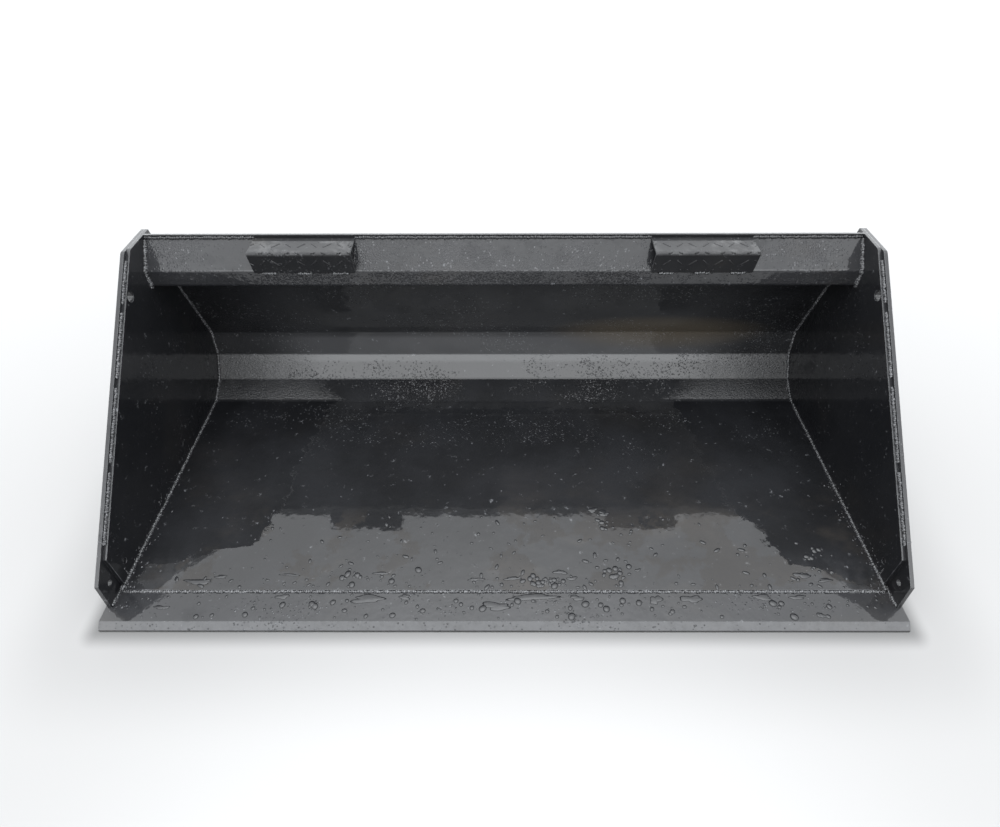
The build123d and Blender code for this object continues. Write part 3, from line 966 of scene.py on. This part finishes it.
def wetReach(setback):
    # how far from the middle the film goes at a setback, well inside its ragged edge
    points = filmEdge["right"]
    for (near, wide), (far, narrow) in zip(points, points[1:]):
        if setback < far:
            return wide + (narrow - wide) * max(0.0, setback - near) / (far - near) - filmEdge["waver"] / 4
    return points[-1][1]


def edgeDrops():
    places = []
    for kind in drops["edge"]:
        for _ in range(kind["count"]):
            places.append(dropAt(random.uniform(*kind["x"]), random.uniform(*kind["setback"]),
                                 between(kind["size"], kind["few"]), random.uniform(*kind["long"])))
    kind = drops["bevel"]
    fall = edgeTop - kind["foot"]
    bevelOut = Vector((0, -fall, kind["run"])).normalized()
    for _ in range(kind["count"]):
        part = random.uniform(*kind["part"])
        point = at(kind["run"] * part, kind["foot"] + fall * part, random.uniform(*kind["x"]))
        places.append(dropAt(0, 0, between(kind["size"], kind["few"]), kind["long"], (point, bevelOut)))
    return places


def floorDrops():
    places = []
    kind = drops["floor"]
    for _ in range(kind["count"]):
        setback = kind["start"] + kind["reach"] * random.random() ** kind["near"]
        reach = wetReach(setback)
        places.append(dropAt(random.uniform(-reach, reach), setback, between(kind["size"], kind["few"]),
                             random.uniform(*kind["long"])))
    kind = drops["chain"]
    for x, setback, count, wide, deep in drops["chains"]:
        for _ in range(count):
            aside = random.gauss(x, wide / 2)
            behind = max(kind["nearest"], random.gauss(setback, deep / 2))
            size = between(kind["size"], kind["few"])
            places.append(dropAt(aside, behind, size, random.uniform(*kind["long"])))
    return places


def addDrops():
    drop = makeDrop(14, 8)
    layCopies("water_drops_edge", drop, edgeDrops(), waterCoat, domes["sharp"])
    layCopies("water_drops_floor", drop, floorDrops(), waterCoat, domes["sharp"])
    discard(drop)


# each pool has a place off the middle and behind the lip and a half length and half width; its outline
# swells with a few waves around it, each with its own depth
pools = {
    "high": 0.0014, "ripples": [(2, 0.22), (3, 0.16), (5, 0.10), (7, 0.06)],
    "edge": [(-0.015, 0.049, 0.030, 0.010), (-0.290, 0.066, 0.040, 0.009), (0.062, 0.070, 0.050, 0.0085),
             (0.158, 0.068, 0.014, 0.007), (0.325, 0.064, 0.013, 0.011), (0.402, 0.066, 0.021, 0.010),
             (0.555, 0.070, 0.022, 0.007), (0.630, 0.070, 0.016, 0.006), (-0.212, 0.070, 0.014, 0.006),
             (-0.725, 0.046, 0.015, 0.005), (0.665, 0.028, 0.010, 0.006), (-0.475, 0.071, 0.018, 0.005)],
    "floor": [(-0.665, 0.104, 0.036, 0.006), (-0.620, 0.116, 0.016, 0.004), (0.655, 0.120, 0.018, 0.007),
              (0.700, 0.108, 0.014, 0.006), (0.125, 0.128, 0.014, 0.006), (0.150, 0.112, 0.011, 0.005),
              (0.020, 0.112, 0.020, 0.004), (-0.060, 0.110, 0.018, 0.004), (-0.270, 0.125, 0.022, 0.003),
              (-0.470, 0.121, 0.020, 0.003), (0.240, 0.290, 0.014, 0.009), (0.215, 0.300, 0.012, 0.008)]}


def ruffle(pool):
    phases = [(waves, depth, random.uniform(0, math.tau)) for waves, depth in pools["ripples"]]
    for vertex in pool.data.vertices:
        angle = math.atan2(vertex.co.y, vertex.co.x)
        swell = 1 + sum(depth * math.sin(waves * angle + phase) for waves, depth, phase in phases)
        vertex.co.x *= swell
        vertex.co.y *= swell


def addPools():
    dome = makeDrop(32, 10)
    for where, level, slot in (("edge", edgeTop, "edge_paint"), ("floor", floorTop, "shell_paint")):
        copies = []
        for x, setback, long, wide in pools[where]:
            place = turned(across, up, at(setback, level, x), (long, wide, pools["high"]))
            copies.append(addTwin(dome, place))
            ruffle(copies[-1])
        joinCopies(f"water_pools_{where}", copies, waterCoat, domes["sharp"])
    discard(dome)


# balls of spatter thrown from each side seam, half of them on the floor and half on the side plate
spatter = {"count": 90, "size": (0.0008, 0.0022), "few": 2.0, "long": (1, 1.6), "flatten": (1, 1, 0.7),
           "cut": -0.3, "start": 0.088, "reach": 0.32, "near": 2, "stray": 0.006, "spread": 0.022,
           "sideStart": 0.12, "onFloor": 0.5, "sharp": 60}


def makeBall():
    bpy.ops.mesh.primitive_ico_sphere_add(subdivisions=2, radius=1)
    ball = bpy.context.object
    bpy.ops.object.mode_set(mode="EDIT")
    bpy.ops.mesh.select_all(action="SELECT")
    bpy.ops.transform.resize(value=spatter["flatten"])
    bpy.ops.mesh.bisect(plane_co=(0, 0, spatter["cut"]), plane_no=(0, 0, 1), clear_inner=True, use_fill=True)
    bpy.ops.object.mode_set(mode="OBJECT")
    return ball


def addSpatter():
    ball = makeBall()
    for side, sign in (("left", -1), ("right", 1)):
        places = []
        for _ in range(spatter["count"]):
            size = between(spatter["size"], spatter["few"])
            setback = spatter["start"] + spatter["reach"] * random.random() ** spatter["near"]
            stray = spatter["stray"] + spatter["spread"] * random.random() ** spatter["near"]
            if random.random() < spatter["onFloor"]:
                point = at(setback, floorTop, sign * (innerHalf - stray))
                out = up
            else:
                point = at(max(setback, spatter["sideStart"]), floorTop + stray, sign * innerHalf)
                out = across * -sign
            sizes = (size * random.uniform(*spatter["long"]), size, size)
            places.append(turned(rearwards, out, point, sizes))
        layCopies(f"weld_spatter_{side}", ball, places, paints["weld_paint"], spatter["sharp"])
    discard(ball)


addDrops()
addPools()
addSpatter()
print("water and spatter")
